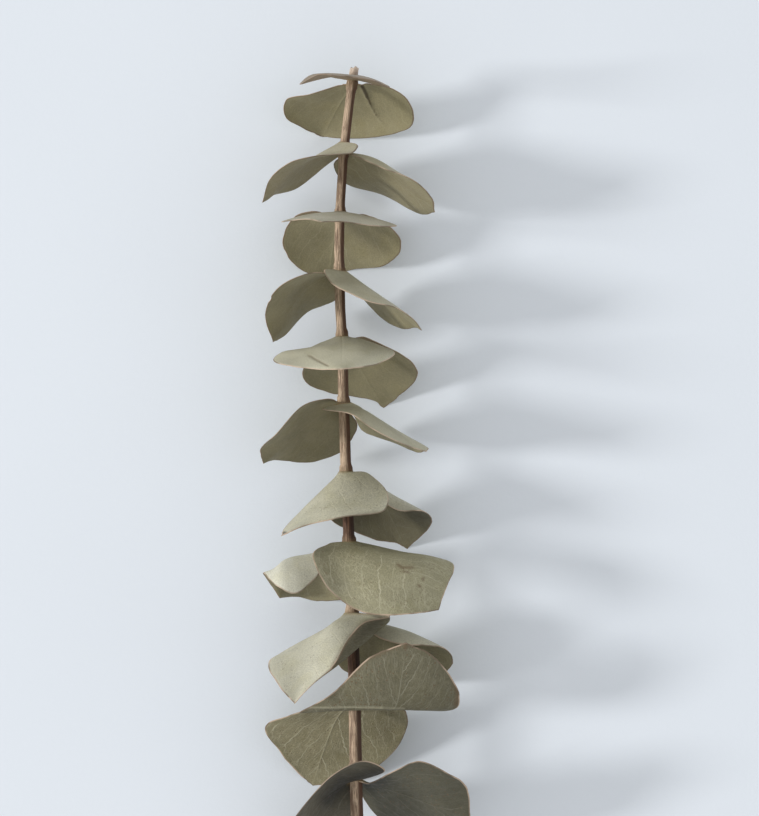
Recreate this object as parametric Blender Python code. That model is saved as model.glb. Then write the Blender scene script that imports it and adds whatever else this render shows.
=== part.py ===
"""Dried eucalyptus branch with round silver-green leaves in crossed pairs, lying on a flat surface.

The stem runs along Y with its tip at +Y, and the cut end at -Y. X is across the branch and Z is up.
Eleven nodes carry two opposite leaves each. A leaf has no stalk: its base clasps the stem.
The origin is on the surface, below the middle of the branch. Lengths in the tables are millimetres.
"""

import math

import bmesh
import bpy
import numpy as np
from mathutils import Vector

MM = 0.001
STEM_HEIGHT = 20.0
EYE = (7.7, 0.0, 900.0)

STEM_SIDES = 12
TIP_RADIUS = 1.15
FOOT_RADIUS = 1.8
NODE_SWELLING = 0.42
SWELLING_LENGTH = 1.6
TIP_Y = 95.2
FOOT_Y = -154.0
FOOT_SLANT = 1.6
TIP_SLANT = 0.3
TIP_SPLINTERS = 0.12
TIP_HOLLOW = 0.3
RING_OFFSETS = (-2.6, -0.9, 0.9, 2.6)
RING_SPACING = 6.5

LEAF_THICKNESS = 0.6
STEM_CLEARANCE = 0.5
CLASP = 65
LEAF_ROWS = 10
LEAF_COLUMNS = 8

# The waves of a dried blade: how high they are, and their turns in radians along and across it.
WAVE_HEIGHT = 0.3
WAVE_ALONG = 5.2
WAVE_ACROSS = 2.4
WAVE_AT_RIB = 0.35
FLUTTER_SHARE = 0.6
FLUTTER_NEAR = 7
FLUTTER_FAR = 9

SHARP_ANGLE = 50
MERGE_DISTANCE = 1e-7

# Bends of the stem's axis: across, along and above the height of the stem.
STEM_PATH = (
    (0.9, 97.0, 0.0), (0.0, 90.7, 0.0), (-1.5, 78.4, 0.0), (-2.5, 70.0, 0.0), (-3.4, 54.0, 0.0),
    (-3.6, 44.0, 0.0), (-3.3, 28.0, 0.0), (-2.6, 17.0, 0.0), (-2.3, 0.0, 0.0), (-1.8, -14.0, 0.0),
    (-0.8, -37.5, 0.0), (0.0, -57.4, 0.0), (0.7, -79.0, 0.0), (1.1, -101.4, 0.0), (1.6, -125.0, -0.6),
    (2.2, -158.0, -2.5),
)

# Where the pairs grow, along the stem.
NODE_Y = {
    1: 90.7, 2: 72.2, 3: 54.0, 4: 38.1, 5: 19.9, 6: 1.4,
    7: -17.9, 8: -37.5, 9: -57.4, 10: -79.0, 11: -101.4,
}
NODE_X = {
    1: 0.0, 2: -2.4, 3: -3.5, 4: -3.5, 5: -2.7, 6: -2.2,
    7: -1.6, 8: -0.8, 9: 0.0, 10: 0.7, 11: 1.1,
}

# A leaf's points count from its node as the eye above the branch sees them, with their height above
# the stem third. rib runs from the base towards the tip. near is the margin on the left or towards
# the eye and far the other one, both from the base towards the tip. facing is the side of the stem
# that the base sits on, in degrees: 0 up, 90 right, -90 left. seat lifts the base along the stem.
# far_fold, where a leaf has one, is the bottom of a crease between its rib and its far margin.
LEAVES = {
    "leaf_01_front": dict(
        node=1, facing=0, seat=1.2, rib=[(-0.5, 2.6, 12)], tip=(-2, 2.2, 25),
        near=[(-5, 1.8, 1), (-11, 2.3, 5), (-14.3, -0.4, 12), (-9, 2.6, 22)],
        far=[(5, 0.6, 1), (10, -0.9, 5), (9.5, -0.8, 13), (5, 1, 22)]),
    "leaf_01_back": dict(
        node=1, facing=180, seat=0, rib=[(-4, -6.5, -12)], tip=(-8.2, -14.8, -20.6),
        near=[(-4.5, -0.4, -1.5), (-12, -2.6, -3), (-18.4, -4.2, -5), (-18.4, -9.3, -11),
              (-13, -12.6, -16)],
        far=[(5, 0, -1.5), (11.5, -1.5, -3), (16, -5.2, -6), (17, -11, -12), (12, -13.7, -15),
             (2, -15, -18)]),
    "leaf_02_left": dict(
        node=2, facing=-90, seat=2.2, rib=[(-11, -4, 2)], tip=(-22.7, -14.6, 0),
        near=[(3.8, 1.6, 5), (2.4, -0.4, 9), (-3, -1, 13), (-9, -1.8, 18), (-15, -3.6, 19), (-20.3, -8, 12)],
        far=[(1, 0, -5), (-5, -4.5, -10), (-13, -10.5, -12), (-20, -12.2, -6)]),
    "leaf_02_right": dict(
        node=2, facing=90, seat=-0.8, rib=[(9, -3.4, 2), (19, -11.5, 2)], tip=(25.6, -17.3, -1),
        near=[(3.5, -1.8, 7), (11, -5.4, 15), (19.5, -8.8, 15), (24.8, -13.5, 7)],
        far=[(-2.6, -4, -6), (1, -9.7, -13), (11, -12.8, -18), (21, -17.8, -11)]),
    "leaf_03_front": dict(
        node=3, facing=0, seat=0.8, rib=[(-1, 0.4, 13)], tip=(-5.2, -1.9, 26),
        near=[(-5.6, -0.2, 1.5), (-11.5, -0.9, 5), (-16.1, -1.9, 12), (-9.6, -1.3, 20)],
        far=[(5.4, -0.4, 1.5), (10.5, -1.5, 5), (16, -3, 11), (9.4, -2.7, 19), (1.2, -1.4, 24)]),
    "leaf_03_back": dict(
        node=3, facing=180, seat=-0.4, rib=[(-1.5, -6.5, -12)], tip=(-3, -17.4, -20.5),
        near=[(-7, 1, -1.5), (-12.6, -0.9, -4), (-15.6, -6.5, -8), (-14.6, -11, -12), (-10.5, -15.3, -17)],
        far=[(6, 0.4, -1.5), (11.5, -1.6, -3), (16.4, -6, -7), (16.6, -10.6, -11), (12, -14.4, -15),
             (4, -15.1, -19)]),
    "leaf_04_left": dict(
        node=4, facing=-90, seat=0, rib=[(-11, -6, 1)], tip=(-18.6, -19.6, 0),
        near=[(-2.5, -0.6, 5), (-9, -0.9, 16), (-17.5, -5.2, 18), (-20.8, -12.5, 9)],
        far=[(1, -3.5, -4), (-1.5, -8.2, -9), (-9, -11.6, -12.5), (-15, -17.5, -7)]),
    "leaf_04_right": dict(
        node=4, facing=90, seat=0, rib=[(5, -2.4, 1), (14.2, -9, 3)], tip=(23, -16.3, 0),
        near=[(-4, 0.8, 8), (-2.4, -2.7, 11), (1.4, -5.2, 15), (8.5, -8.4, 18), (15.3, -10, 15),
              (20.4, -13.2, 7)],
        far=[(2, -2, -7), (6, -7, -14), (12.4, -13.2, -14), (18, -15.6, -9), (21.6, -15.2, -3)]),
    "leaf_05_front": dict(
        node=5, facing=0, seat=0, rib=[(0, -2.6, 12)], tip=(0, -9.1, 26),
        near=[(-6, -1.8, 1), (-11, -4.2, 3), (-16.5, -4.6, 5), (-19, -7, 9), (-11, -8.4, 20)],
        far=[(5, -0.6, 1), (11, -3, 3), (14.5, -4.9, 9), (9, -7.8, 19)]),
    "leaf_05_back": dict(
        node=5, facing=165, seat=-1, rib=[(5, -8.5, -12)], tip=(11.6, -19.8, -20.6),
        near=[(-5, -4, -2), (-10.6, -8.4, -6), (-10, -12.8, -12), (-4, -15.6, -17), (3, -16.8, -19),
              (9, -17.9, -19.4)],
        far=[(6, 0.2, -1.5), (12.4, -2.6, -3), (19.5, -7.3, -6), (20.6, -12, -12), (16, -16.4, -17)]),
    "leaf_06_left": dict(
        node=6, facing=-90, seat=0, rib=[(-11, -6.5, 0)], tip=(-22.6, -16.9, -1),
        near=[(-5, 1.3, 7), (-12, -1, 17), (-19, -8.8, 15), (-23.2, -12.8, 6)],
        far=[(3.6, -6.5, -6), (-1, -13.5, -11), (-10, -16.4, -13), (-19, -15.6, -7)]),
    "leaf_06_right": dict(
        node=6, facing=90, seat=0, rib=[(7, -2.8, 1), (16, -8.4, 2)], tip=(23.6, -12.8, 1),
        near=[(-6, -1.8, 8), (1.7, -3.4, 12), (6.6, -6.8, 17), (12, -9.7, 18), (18, -12, 14),
              (22.6, -13.2, 6)],
        far=[(2.5, -3, -7), (5, -7.9, -14), (9, -9.7, -15), (14.5, -11.4, -15), (20.5, -13.8, -7)]),
    "leaf_07_front": dict(
        node=7, facing=-15, seat=0, rib=[(-1.5, -4.8, 9), (-7.5, -11, 15)], tip=(-18.2, -17.9, 17),
        near=[(-4.2, -2.6, 1), (-8.4, -7.2, 1), (-13.2, -12, 4), (-17.4, -16.2, 11)],
        far=[(6, -0.2, 1.5), (11.3, -5.5, 6), (10, -11.2, 13), (-1, -12.9, 20), (-12, -15.4, 20)]),
    "leaf_07_back": dict(
        node=7, facing=150, seat=-1, rib=[(9, -6, -8)], tip=(17, -21.5, -20.6),
        near=[(-4, -6, -3), (-4.5, -13, -9), (2, -16.6, -15), (9, -19.2, -18.4), (14, -19.9, -19.4)],
        far=[(6, -5, -1), (14, -10.4, 1), (21.5, -11.2, 0), (23.5, -15, -8)]),
    "leaf_08_front": dict(
        node=8, facing=20, seat=0, rib=[(7, -3, 8), (17, -8.5, 12)], tip=(25, -19, 10),
        near=[(-6, -0.7, 2), (-10.3, -4, 6), (-5, -14, 13), (5, -19.9, 17), (16, -20.2, 16)],
        far=[(6, -0.9, 0), (15, -3, -1), (25, -4.8, 0), (29.3, -6.8, 3), (27.5, -12, 7)]),
    "leaf_08_back": dict(
        node=8, facing=-150, seat=-1, rib=[(-9.5, -3.4, -4), (-17.8, -5.8, -5)], tip=(-19.4, -15.7, -10),
        near=[(-5, -4, -0.5), (-9.5, -10, 1), (-15, -14.4, 4), (-20, -12.3, 3), (-24, -8.8, -3)],
        far=[(3, -7, -8), (0, -15, -14), (-8, -16.2, -19), (-14, -15.2, -18)]),
    "leaf_09_front": dict(
        node=9, facing=-25, seat=0, rib=[(-7, -7.5, 7)], tip=(-16, -25.3, 15),
        near=[(-4, -2.9, 1), (-12, -6.8, 2), (-20, -11.3, 4), (-23.4, -14.5, 9), (-20, -21, 13)],
        far=[(10.5, -0.8, 5), (3, -2.5, 10), (-1.5, -7.5, 13), (-5.6, -15, 16), (-10.8, -20.2, 16)],
        far_fold=[(9, -2, 3), (6.2, -5.6, 6), (1.4, -9.6, 10), (-4.6, -14.4, 13), (-11.8, -19.8, 14)]),
    "leaf_09_back": dict(
        node=9, facing=150, seat=-1, rib=[(13, -6.3, -6)], tip=(24, -19, -12),
        near=[(-4, -8, -7), (-3.5, -14.5, -13), (5, -19, -18.5), (15, -20.3, -20.6)],
        far=[(6, -6, 1), (13, -8.7, 4), (20, -9.2, 3), (26, -10, 0), (28.2, -13.5, -5)]),
    "leaf_10_front": dict(
        node=10, facing=25, seat=-2, rib=[(5, -4.3, 5), (11, -5, 9), (13, 3, 14)], tip=(14.3, 13.3, 16),
        near=[(-7, -4.2, 1), (-15.2, -6.2, 4), (-6, -0.8, 11), (4, 8.8, 15)],
        far=[(9, -4.6, 0.5), (20, -5.2, 2), (28.5, -4.6, 5), (28.4, 1.2, 10), (22.5, 9, 14)]),
    "leaf_10_back": dict(
        node=10, facing=-165, seat=-3, rib=[(-5, -8, -8), (-9, -18, -15)], tip=(-11.6, -26.6, -20.6),
        near=[(-8, -4, -2), (-18, -6.8, -4), (-25, -10.3, -8), (-21, -17, -13), (-16, -23, -18)],
        far=[(8.5, -3, -2), (13.6, -5.4, -4), (14.7, -9.8, -9), (10.6, -17.4, -15), (0, -25, -19)]),
    "leaf_11_left": dict(
        node=11, facing=-90, seat=-3, rib=[(-11, -10, 1)], tip=(-21, -24, 3),
        near=[(8, -0.2, 9.5), (2, 2.5, 13), (-6, -1.4, 16), (-12.6, -8.2, 16), (-18.8, -16.4, 11)],
        far=[(0.5, -9.5, -5), (-3, -17.5, -15), (-12, -23, -17), (-18, -26, -8)]),
    "leaf_11_right": dict(
        node=11, facing=90, seat=-3, rib=[(14, -7, 1)], tip=(32, -14, 4),
        near=[(4, -3.4, 3.5), (11, 0.2, 11), (18, 2.7, 16), (26, -1, 15), (31, -5, 10)],
        far=[(0.5, -5, -7), (6, -13, -15), (16, -19, -18), (26, -19, -10)]),
}

STEM_COLOUR = (0.33, 0.22, 0.15)
LEAF_COLOUR = (0.33, 0.30, 0.20)
STEM_ROUGHNESS = 0.7
LEAF_ROUGHNESS = 0.6


def clear_scene():
    for item in list(bpy.data.objects):
        bpy.data.objects.remove(item, do_unlink=True)


def make_material(name, colour, roughness):
    material = bpy.data.materials.new(name)
    material.use_nodes = True
    shader = material.node_tree.nodes["Principled BSDF"]
    shader.inputs["Base Color"].default_value = (*colour, 1.0)
    shader.inputs["Roughness"].default_value = roughness
    shader.inputs["Metallic"].default_value = 0.0
    return material


def spline(points, amount):
    """Point at amount, 0 to 1, on a smooth curve through evenly timed points."""
    points = np.asarray(points, float)
    spans = len(points) - 1
    before = 2 * points[0] - points[1]
    after = 2 * points[-1] - points[-2]
    padded = np.vstack([before, points, after])
    place = min(max(amount, 0.0), 1.0) * spans
    first = min(int(place), spans - 1)
    s = place - first
    a, b, c, d = padded[first:first + 4]
    return 0.5 * (2 * b + (c - a) * s + (2 * a - 5 * b + 4 * c - d) * s**2 + (3 * b - a - 3 * c + d) * s**3)


def stem_centre(y):
    """Axis of the stem at y, across and above the height of the stem."""
    path = np.asarray(STEM_PATH)[::-1]
    return np.interp(y, path[:, 1], path[:, 0]), np.interp(y, path[:, 1], path[:, 2])


def stem_radius(y):
    """The stem thins towards its tip and swells a little at each node."""
    share = (TIP_Y - y) / (TIP_Y - FOOT_Y)
    swelling = sum(math.exp(-((y - at) / SWELLING_LENGTH) ** 2) for at in NODE_Y.values())
    return TIP_RADIUS + (FOOT_RADIUS - TIP_RADIUS) * share + NODE_SWELLING * swelling


def from_the_stem(x, y, z, reach):
    """The point itself, or the nearest one on the sleeve around the stem if it lies inside it."""
    centre_x, centre_z = stem_centre(y)
    across, up = x - centre_x, z - centre_z
    away = math.hypot(across, up)
    least = stem_radius(y) + reach
    if away >= least:
        return x, y, z
    scale = least / max(away, 1e-6)
    return centre_x + across * scale, y, centre_z + up * scale


def seen_from_above(point, node):
    """Where a point really is that the eye sees at this place from the node, at this height."""
    x, y, z = NODE_X[node] + point[0], NODE_Y[node] + point[1], point[2]
    nearer = 1 - z / EYE[2]
    return np.array([EYE[0] + (x - EYE[0]) * nearer, EYE[1] + (y - EYE[1]) * nearer, z])


def base_point(leaf, turn):
    """Point where the base clasps the stem, turn degrees round it from the middle of the base."""
    y = NODE_Y[leaf["node"]] + leaf["seat"]
    angle = math.radians(leaf["facing"] + turn)
    centre_x, centre_z = stem_centre(y)
    reach = stem_radius(y) + STEM_CLEARANCE
    return np.array([centre_x + math.sin(angle) * reach, y, centre_z + math.cos(angle) * reach])


def near_turn(leaf):
    """Degrees round the stem from the middle of the base to where the near margin starts."""
    faces_up_or_right = -60 < leaf["facing"] < 120
    return -CLASP if faces_up_or_right else CLASP


def leaf_curve(leaf, line, turn):
    """Points of one of a leaf's lines, from its start at the base to the tip."""
    seen = leaf[line] + [leaf["tip"]]
    return [base_point(leaf, turn)] + [seen_from_above(point, leaf["node"]) for point in seen]


def across_blade(left, middle, right, u):
    """Point of a plain blade's cross-section, a parabola, with u from -1 at near to 1 at far."""
    return middle + 0.5 * (right - left) * u + 0.5 * (left + right - 2 * middle) * u * u


def leaf_surface(leaf, rows, columns):
    """Middle surface of a blade as a grid of points, rows from the base to the tip."""
    turn = near_turn(leaf)
    near = leaf_curve(leaf, "near", turn)
    rib = leaf_curve(leaf, "rib", 0)
    far = leaf_curve(leaf, "far", -turn)
    fold = leaf_curve(leaf, "far_fold", -turn / 2) if "far_fold" in leaf else None
    grid = np.zeros((rows + 1, columns + 1, 3))
    for row in range(rows + 1):
        share = row / rows
        amount = 0.5 * share + 0.5 * share * share * (3 - 2 * share)
        left, middle, right = spline(near, amount), spline(rib, amount), spline(far, amount)
        for column in range(columns + 1):
            u = 2 * column / columns - 1
            if row == 0:
                point = base_point(leaf, -turn * u)
            elif fold:
                quarter = across_blade(left, middle, right, -0.5)
                point = spline([left, quarter, middle, spline(fold, amount), right], (u + 1) / 2)
            else:
                point = across_blade(left, middle, right, u)
            grid[row, column] = point
    for row in range(rows + 1):
        for column in range(columns + 1):
            grid[row, column] = from_the_stem(*grid[row, column], STEM_CLEARANCE)
    return grid


def surface_normals(grid):
    """Unit normals of a grid, pointing to the leaf's upper face, which turns to the branch's tip."""
    along = np.gradient(grid, axis=0)
    across = np.gradient(grid, axis=1)
    normals = np.cross(along, across)
    normals /= np.maximum(np.linalg.norm(normals, axis=2, keepdims=True), 1e-9)
    normals[-1] = normals[-2, grid.shape[1] // 2]
    if normals[1:4, grid.shape[1] // 2, 1].mean() < 0:
        normals = -normals
    return normals


def waved(leaf, grid, normals):
    """The blade with the shallow waves of a dried leaf, which die out at its base and tip."""
    rows, columns = grid.shape[0] - 1, grid.shape[1] - 1
    start = 1.7 * leaf["node"] + 1.1 * leaf["facing"]
    result = grid.copy()
    for row in range(rows + 1):
        share = row / rows
        fade = min(1, 3 * share, 8 * (1 - share))
        for column in range(columns + 1):
            u = 2 * column / columns - 1
            edge_turns = FLUTTER_FAR if u > 0 else FLUTTER_NEAR
            swell = math.sin(WAVE_ALONG * share + WAVE_ACROSS * u + start)
            swell *= WAVE_AT_RIB + (1 - WAVE_AT_RIB) * u * u
            flutter = FLUTTER_SHARE * math.sin(edge_turns * share + 2 * start) * abs(u) ** 3
            result[row, column] += normals[row, column] * WAVE_HEIGHT * (swell + flutter) * fade
    return result


def blade_mesh(upper, lower):
    """Closed mesh between two grids whose last rows are each one point, split alike on both faces."""
    rows, columns = upper.shape[0] - 1, upper.shape[1] - 1
    mesh = bmesh.new()
    outlines = []
    for grid in (upper, lower):
        points = [[mesh.verts.new(Vector(grid[row, column]) * MM) for column in range(columns + 1)]
                  for row in range(rows)]
        tip = mesh.verts.new(Vector(grid[rows, columns // 2]) * MM)
        far_side = [line[-1] for line in points[1:]]
        near_side = [line[0] for line in points[:0:-1]]
        outlines.append(points[0] + far_side + [tip] + near_side)
        for row in range(rows - 1):
            for column in range(columns):
                a, b = points[row][column], points[row][column + 1]
                c, d = points[row + 1][column + 1], points[row + 1][column]
                if column < columns // 2:
                    mesh.faces.new((a, b, d))
                    mesh.faces.new((b, c, d))
                else:
                    mesh.faces.new((a, b, c))
                    mesh.faces.new((a, c, d))
        for column in range(columns):
            mesh.faces.new((points[rows - 1][column], points[rows - 1][column + 1], tip))
    top, under = outlines
    for index in range(len(top)):
        following = (index + 1) % len(top)
        mesh.faces.new((top[index], top[following], under[following]))
        mesh.faces.new((top[index], under[following], under[index]))
    bmesh.ops.recalc_face_normals(mesh, faces=mesh.faces)
    return mesh


def cut_flat(mesh, height):
    """Take off what is below a level, and close the cut with flat faces that the leaf rests on."""
    geometry = list(mesh.verts) + list(mesh.edges) + list(mesh.faces)
    cut = bmesh.ops.bisect_plane(
        mesh, geom=geometry, dist=MERGE_DISTANCE, plane_co=(0, 0, height), plane_no=(0, 0, -1),
        clear_outer=True)
    edges = [item for item in cut["geom_cut"] if isinstance(item, bmesh.types.BMEdge)]
    if edges:
        bmesh.ops.holes_fill(mesh, edges=edges, sides=0)
        bmesh.ops.recalc_face_normals(mesh, faces=mesh.faces)


def finish_object(name, mesh, material, parent, location=(0, 0, 0)):
    data = bpy.data.meshes.new(name)
    bmesh.ops.translate(mesh, verts=mesh.verts, vec=-Vector(location))
    mesh.to_mesh(data)
    mesh.free()
    data.shade_smooth()
    data.set_sharp_from_angle(angle=math.radians(SHARP_ANGLE))
    data.materials.append(material)
    item = bpy.data.objects.new(name, data)
    item.location = location
    item.parent = parent
    bpy.context.collection.objects.link(item)
    return item


def make_leaf(name, leaf, material, parent):
    grid = leaf_surface(leaf, LEAF_ROWS, LEAF_COLUMNS)
    normals = surface_normals(grid)
    middle = waved(leaf, grid, normals)
    half = LEAF_THICKNESS / 2
    mesh = blade_mesh(middle + normals * half, middle - normals * half)
    cut_flat(mesh, -STEM_HEIGHT * MM)
    node = leaf["node"]
    return finish_object(name, mesh, material, parent, (NODE_X[node] * MM, NODE_Y[node] * MM, 0))


def stem_rings():
    """Places of the stem's rings, closer together at the nodes."""
    places = {TIP_Y, FOOT_Y}
    nodes = sorted(NODE_Y.values(), reverse=True)
    for at in nodes:
        places.update(at + offset for offset in RING_OFFSETS)
    bounds = sorted([TIP_Y] + nodes + [FOOT_Y], reverse=True)
    for upper, lower in zip(bounds[:-1], bounds[1:]):
        start, end = upper - RING_OFFSETS[-1], lower + RING_OFFSETS[-1]
        count = int((start - end) / RING_SPACING)
        places.update(start - (start - end) * step / (count + 1) for step in range(1, count + 1))
    return sorted(place for place in places if FOOT_Y <= place <= TIP_Y)


def make_stem(material, parent):
    """One body from the slanted cut at its foot to the broken stub at its tip."""
    mesh = bmesh.new()
    rings = []
    for y in stem_rings():
        centre_x, centre_z = stem_centre(y)
        radius = stem_radius(y)
        ring = []
        for side in range(STEM_SIDES):
            angle = 2 * math.pi * side / STEM_SIDES
            place_y = y
            if y == FOOT_Y:
                place_y += FOOT_SLANT * math.sin(angle)
            if y == TIP_Y:
                place_y += TIP_SLANT * math.sin(2 * angle + 0.6) + TIP_SPLINTERS * math.sin(5 * angle)
            across, up = radius * math.sin(angle), radius * math.cos(angle)
            ring.append(mesh.verts.new(Vector((centre_x + across, place_y, centre_z + up)) * MM))
        rings.append(ring)
    for lower, upper in zip(rings[:-1], rings[1:]):
        for side in range(STEM_SIDES):
            after = (side + 1) % STEM_SIDES
            mesh.faces.new((lower[side], lower[after], upper[after], upper[side]))
    for ring, shift in ((rings[0], 0.0), (rings[-1], -TIP_HOLLOW)):
        middle = sum((vert.co for vert in ring), Vector()) / STEM_SIDES
        middle.y += shift * MM
        centre = mesh.verts.new(middle)
        for side in range(STEM_SIDES):
            mesh.faces.new((ring[side], ring[(side + 1) % STEM_SIDES], centre))
    bmesh.ops.recalc_face_normals(mesh, faces=mesh.faces)
    bmesh.ops.triangulate(mesh, faces=mesh.faces)
    return finish_object("stem", mesh, material, parent)


def centre_on_surface(parent, items):
    """Move the branch so that the origin is on the surface, below the middle of its box."""
    corners = np.array([item.matrix_world @ vert.co for item in items for vert in item.data.vertices])
    low, high = corners.min(axis=0), corners.max(axis=0)
    parent.location = (-(low[0] + high[0]) / 2, -(low[1] + high[1]) / 2, -low[2])


def main():
    clear_scene()
    bark = make_material("stem_bark", STEM_COLOUR, STEM_ROUGHNESS)
    blade = make_material("leaf_blade", LEAF_COLOUR, LEAF_ROUGHNESS)
    branch = bpy.data.objects.new("branch", None)
    bpy.context.collection.objects.link(branch)
    items = [make_stem(bark, branch)]
    for name, leaf in LEAVES.items():
        items.append(make_leaf(name, leaf, blade, branch))
    bpy.context.view_layer.update()
    centre_on_surface(branch, items)
    bpy.context.view_layer.update()


main()
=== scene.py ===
"""Looks of a dried eucalyptus branch: veined leaves, a striped stem, a pale surface and soft light.

Each leaf is built again over the same lines as its solid, on a finer grid, with a thinner blade, a raised
rib, a rounded margin and its own creases. Lengths in the tables are millimetres, in the branch's own place,
and the settings are in metres.
"""

import math

import bpy
import numpy as np
from bpy.props import FloatProperty, FloatVectorProperty, PointerProperty
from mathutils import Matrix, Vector, noise


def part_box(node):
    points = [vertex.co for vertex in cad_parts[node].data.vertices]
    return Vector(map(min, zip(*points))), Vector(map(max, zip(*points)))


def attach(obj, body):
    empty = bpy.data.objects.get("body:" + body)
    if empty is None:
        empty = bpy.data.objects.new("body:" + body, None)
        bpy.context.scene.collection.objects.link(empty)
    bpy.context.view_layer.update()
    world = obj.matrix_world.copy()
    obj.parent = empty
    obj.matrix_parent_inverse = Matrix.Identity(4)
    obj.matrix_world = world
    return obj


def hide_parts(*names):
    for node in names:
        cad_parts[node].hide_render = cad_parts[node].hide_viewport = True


bl_info = {
    "name": "Eucalyptus Branch",
    "version": (1, 0, 0),
    "blender": (4, 5, 0),
    "location": "View3D > Sidebar > Branch",
    "description": "Builds a dried eucalyptus branch with veined leaves on a pale lit surface",
    "category": "Add Mesh",
}

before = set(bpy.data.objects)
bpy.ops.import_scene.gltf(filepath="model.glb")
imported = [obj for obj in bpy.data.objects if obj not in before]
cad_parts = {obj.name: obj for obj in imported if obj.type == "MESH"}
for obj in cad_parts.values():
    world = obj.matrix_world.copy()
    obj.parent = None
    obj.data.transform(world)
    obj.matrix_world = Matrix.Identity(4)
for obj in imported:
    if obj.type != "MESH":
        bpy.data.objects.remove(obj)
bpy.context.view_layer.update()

MM = 0.001
STEM_HEIGHT = 20.0
EYE = (7.7, 0.0, 900.0)

TIP_RADIUS = 1.15
FOOT_RADIUS = 1.8
NODE_SWELLING = 0.42
SWELLING_LENGTH = 1.6
TIP_Y = 95.2
FOOT_Y = -154.0
FOOT_SLANT = 1.6
TIP_SLANT = 0.3
TIP_SPLINTERS = 0.12
STEM_SIDES = 48
RING_SPACING = 0.4
SCAR_HEIGHT = 0.4

CLASP = 65
STEM_CLEARANCE = 0.12
ROWS = 80
COLUMNS = 96
COLUMN_CROWDING = 0.4
CONTACT_EASE = 0.3
RIB_WIDTH = 0.36
STEM_SQUARENESS = 0.05

WAVE_HEIGHT = 0.3
WAVE_ALONG = 5.2
WAVE_ACROSS = 2.4
WAVE_AT_RIB = 0.35
WAVE_BY_NODE = 1.7
WAVE_BY_FACING = 1.1
WAVE_RISE = 3
WAVE_FALL = 8
FLUTTER_SHARE = 0.6
FLUTTER_NEAR = 7
FLUTTER_FAR = 9

RAG_STEP = 0.21
RAG_SIDE = 3.0
RAG_SEED = 5.0
RAG_HEIGHT = 0.22
RAG_BAND = 0.3
RAG_FADE_ROWS = 6
FINE_RAG_HEIGHT = 0.1
FINE_RAG_RATIO = 3.1

SEED_BY_SIDE = 0.37
NICK_BAND = 0.2
BASE_LENGTH = 1.2
BASE_THICKENING = 0.6
MARGIN_TAPER = 1.2
MARGIN_SHARE = 0.6
RIB_FADE = 0.7
RIB_ABOVE = 0.05
RIM_BULGE = 0.35

BARK_END_LENGTH = 3.0
RIDGE_ROUND, RIDGE_ALONG = 3.0, 0.08
SCAR_ROUND, SCAR_ALONG = 1.8, 1.1
SCAR_OFFSET, SCAR_WIDTH = 1.6, 0.9
NODE_TONE_LENGTH = 1.1
FINISH_ROUND = 1.5
TIP_HOLLOW = 0.4

# Bends of the stem's axis: across, along and above the height of the stem.
STEM_PATH = (
    (0.9, 97.0, 0.0), (0.0, 90.7, 0.0), (-1.5, 78.4, 0.0), (-2.5, 70.0, 0.0), (-3.4, 54.0, 0.0),
    (-3.6, 44.0, 0.0), (-3.3, 28.0, 0.0), (-2.6, 17.0, 0.0), (-2.3, 0.0, 0.0), (-1.8, -14.0, 0.0),
    (-0.8, -37.5, 0.0), (0.0, -57.4, 0.0), (0.7, -79.0, 0.0), (1.1, -101.4, 0.0), (1.6, -125.0, -0.6),
    (2.2, -158.0, -2.5),
)

# Where the pairs grow, along the stem and across it.
NODE_Y = {
    1: 90.7, 2: 72.2, 3: 54.0, 4: 38.1, 5: 19.9, 6: 1.4,
    7: -17.9, 8: -37.5, 9: -57.4, 10: -79.0, 11: -101.4,
}
NODE_X = {
    1: 0.0, 2: -2.4, 3: -3.5, 4: -3.5, 5: -2.7, 6: -2.2,
    7: -1.6, 8: -0.8, 9: 0.0, 10: 0.7, 11: 1.1,
}

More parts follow.
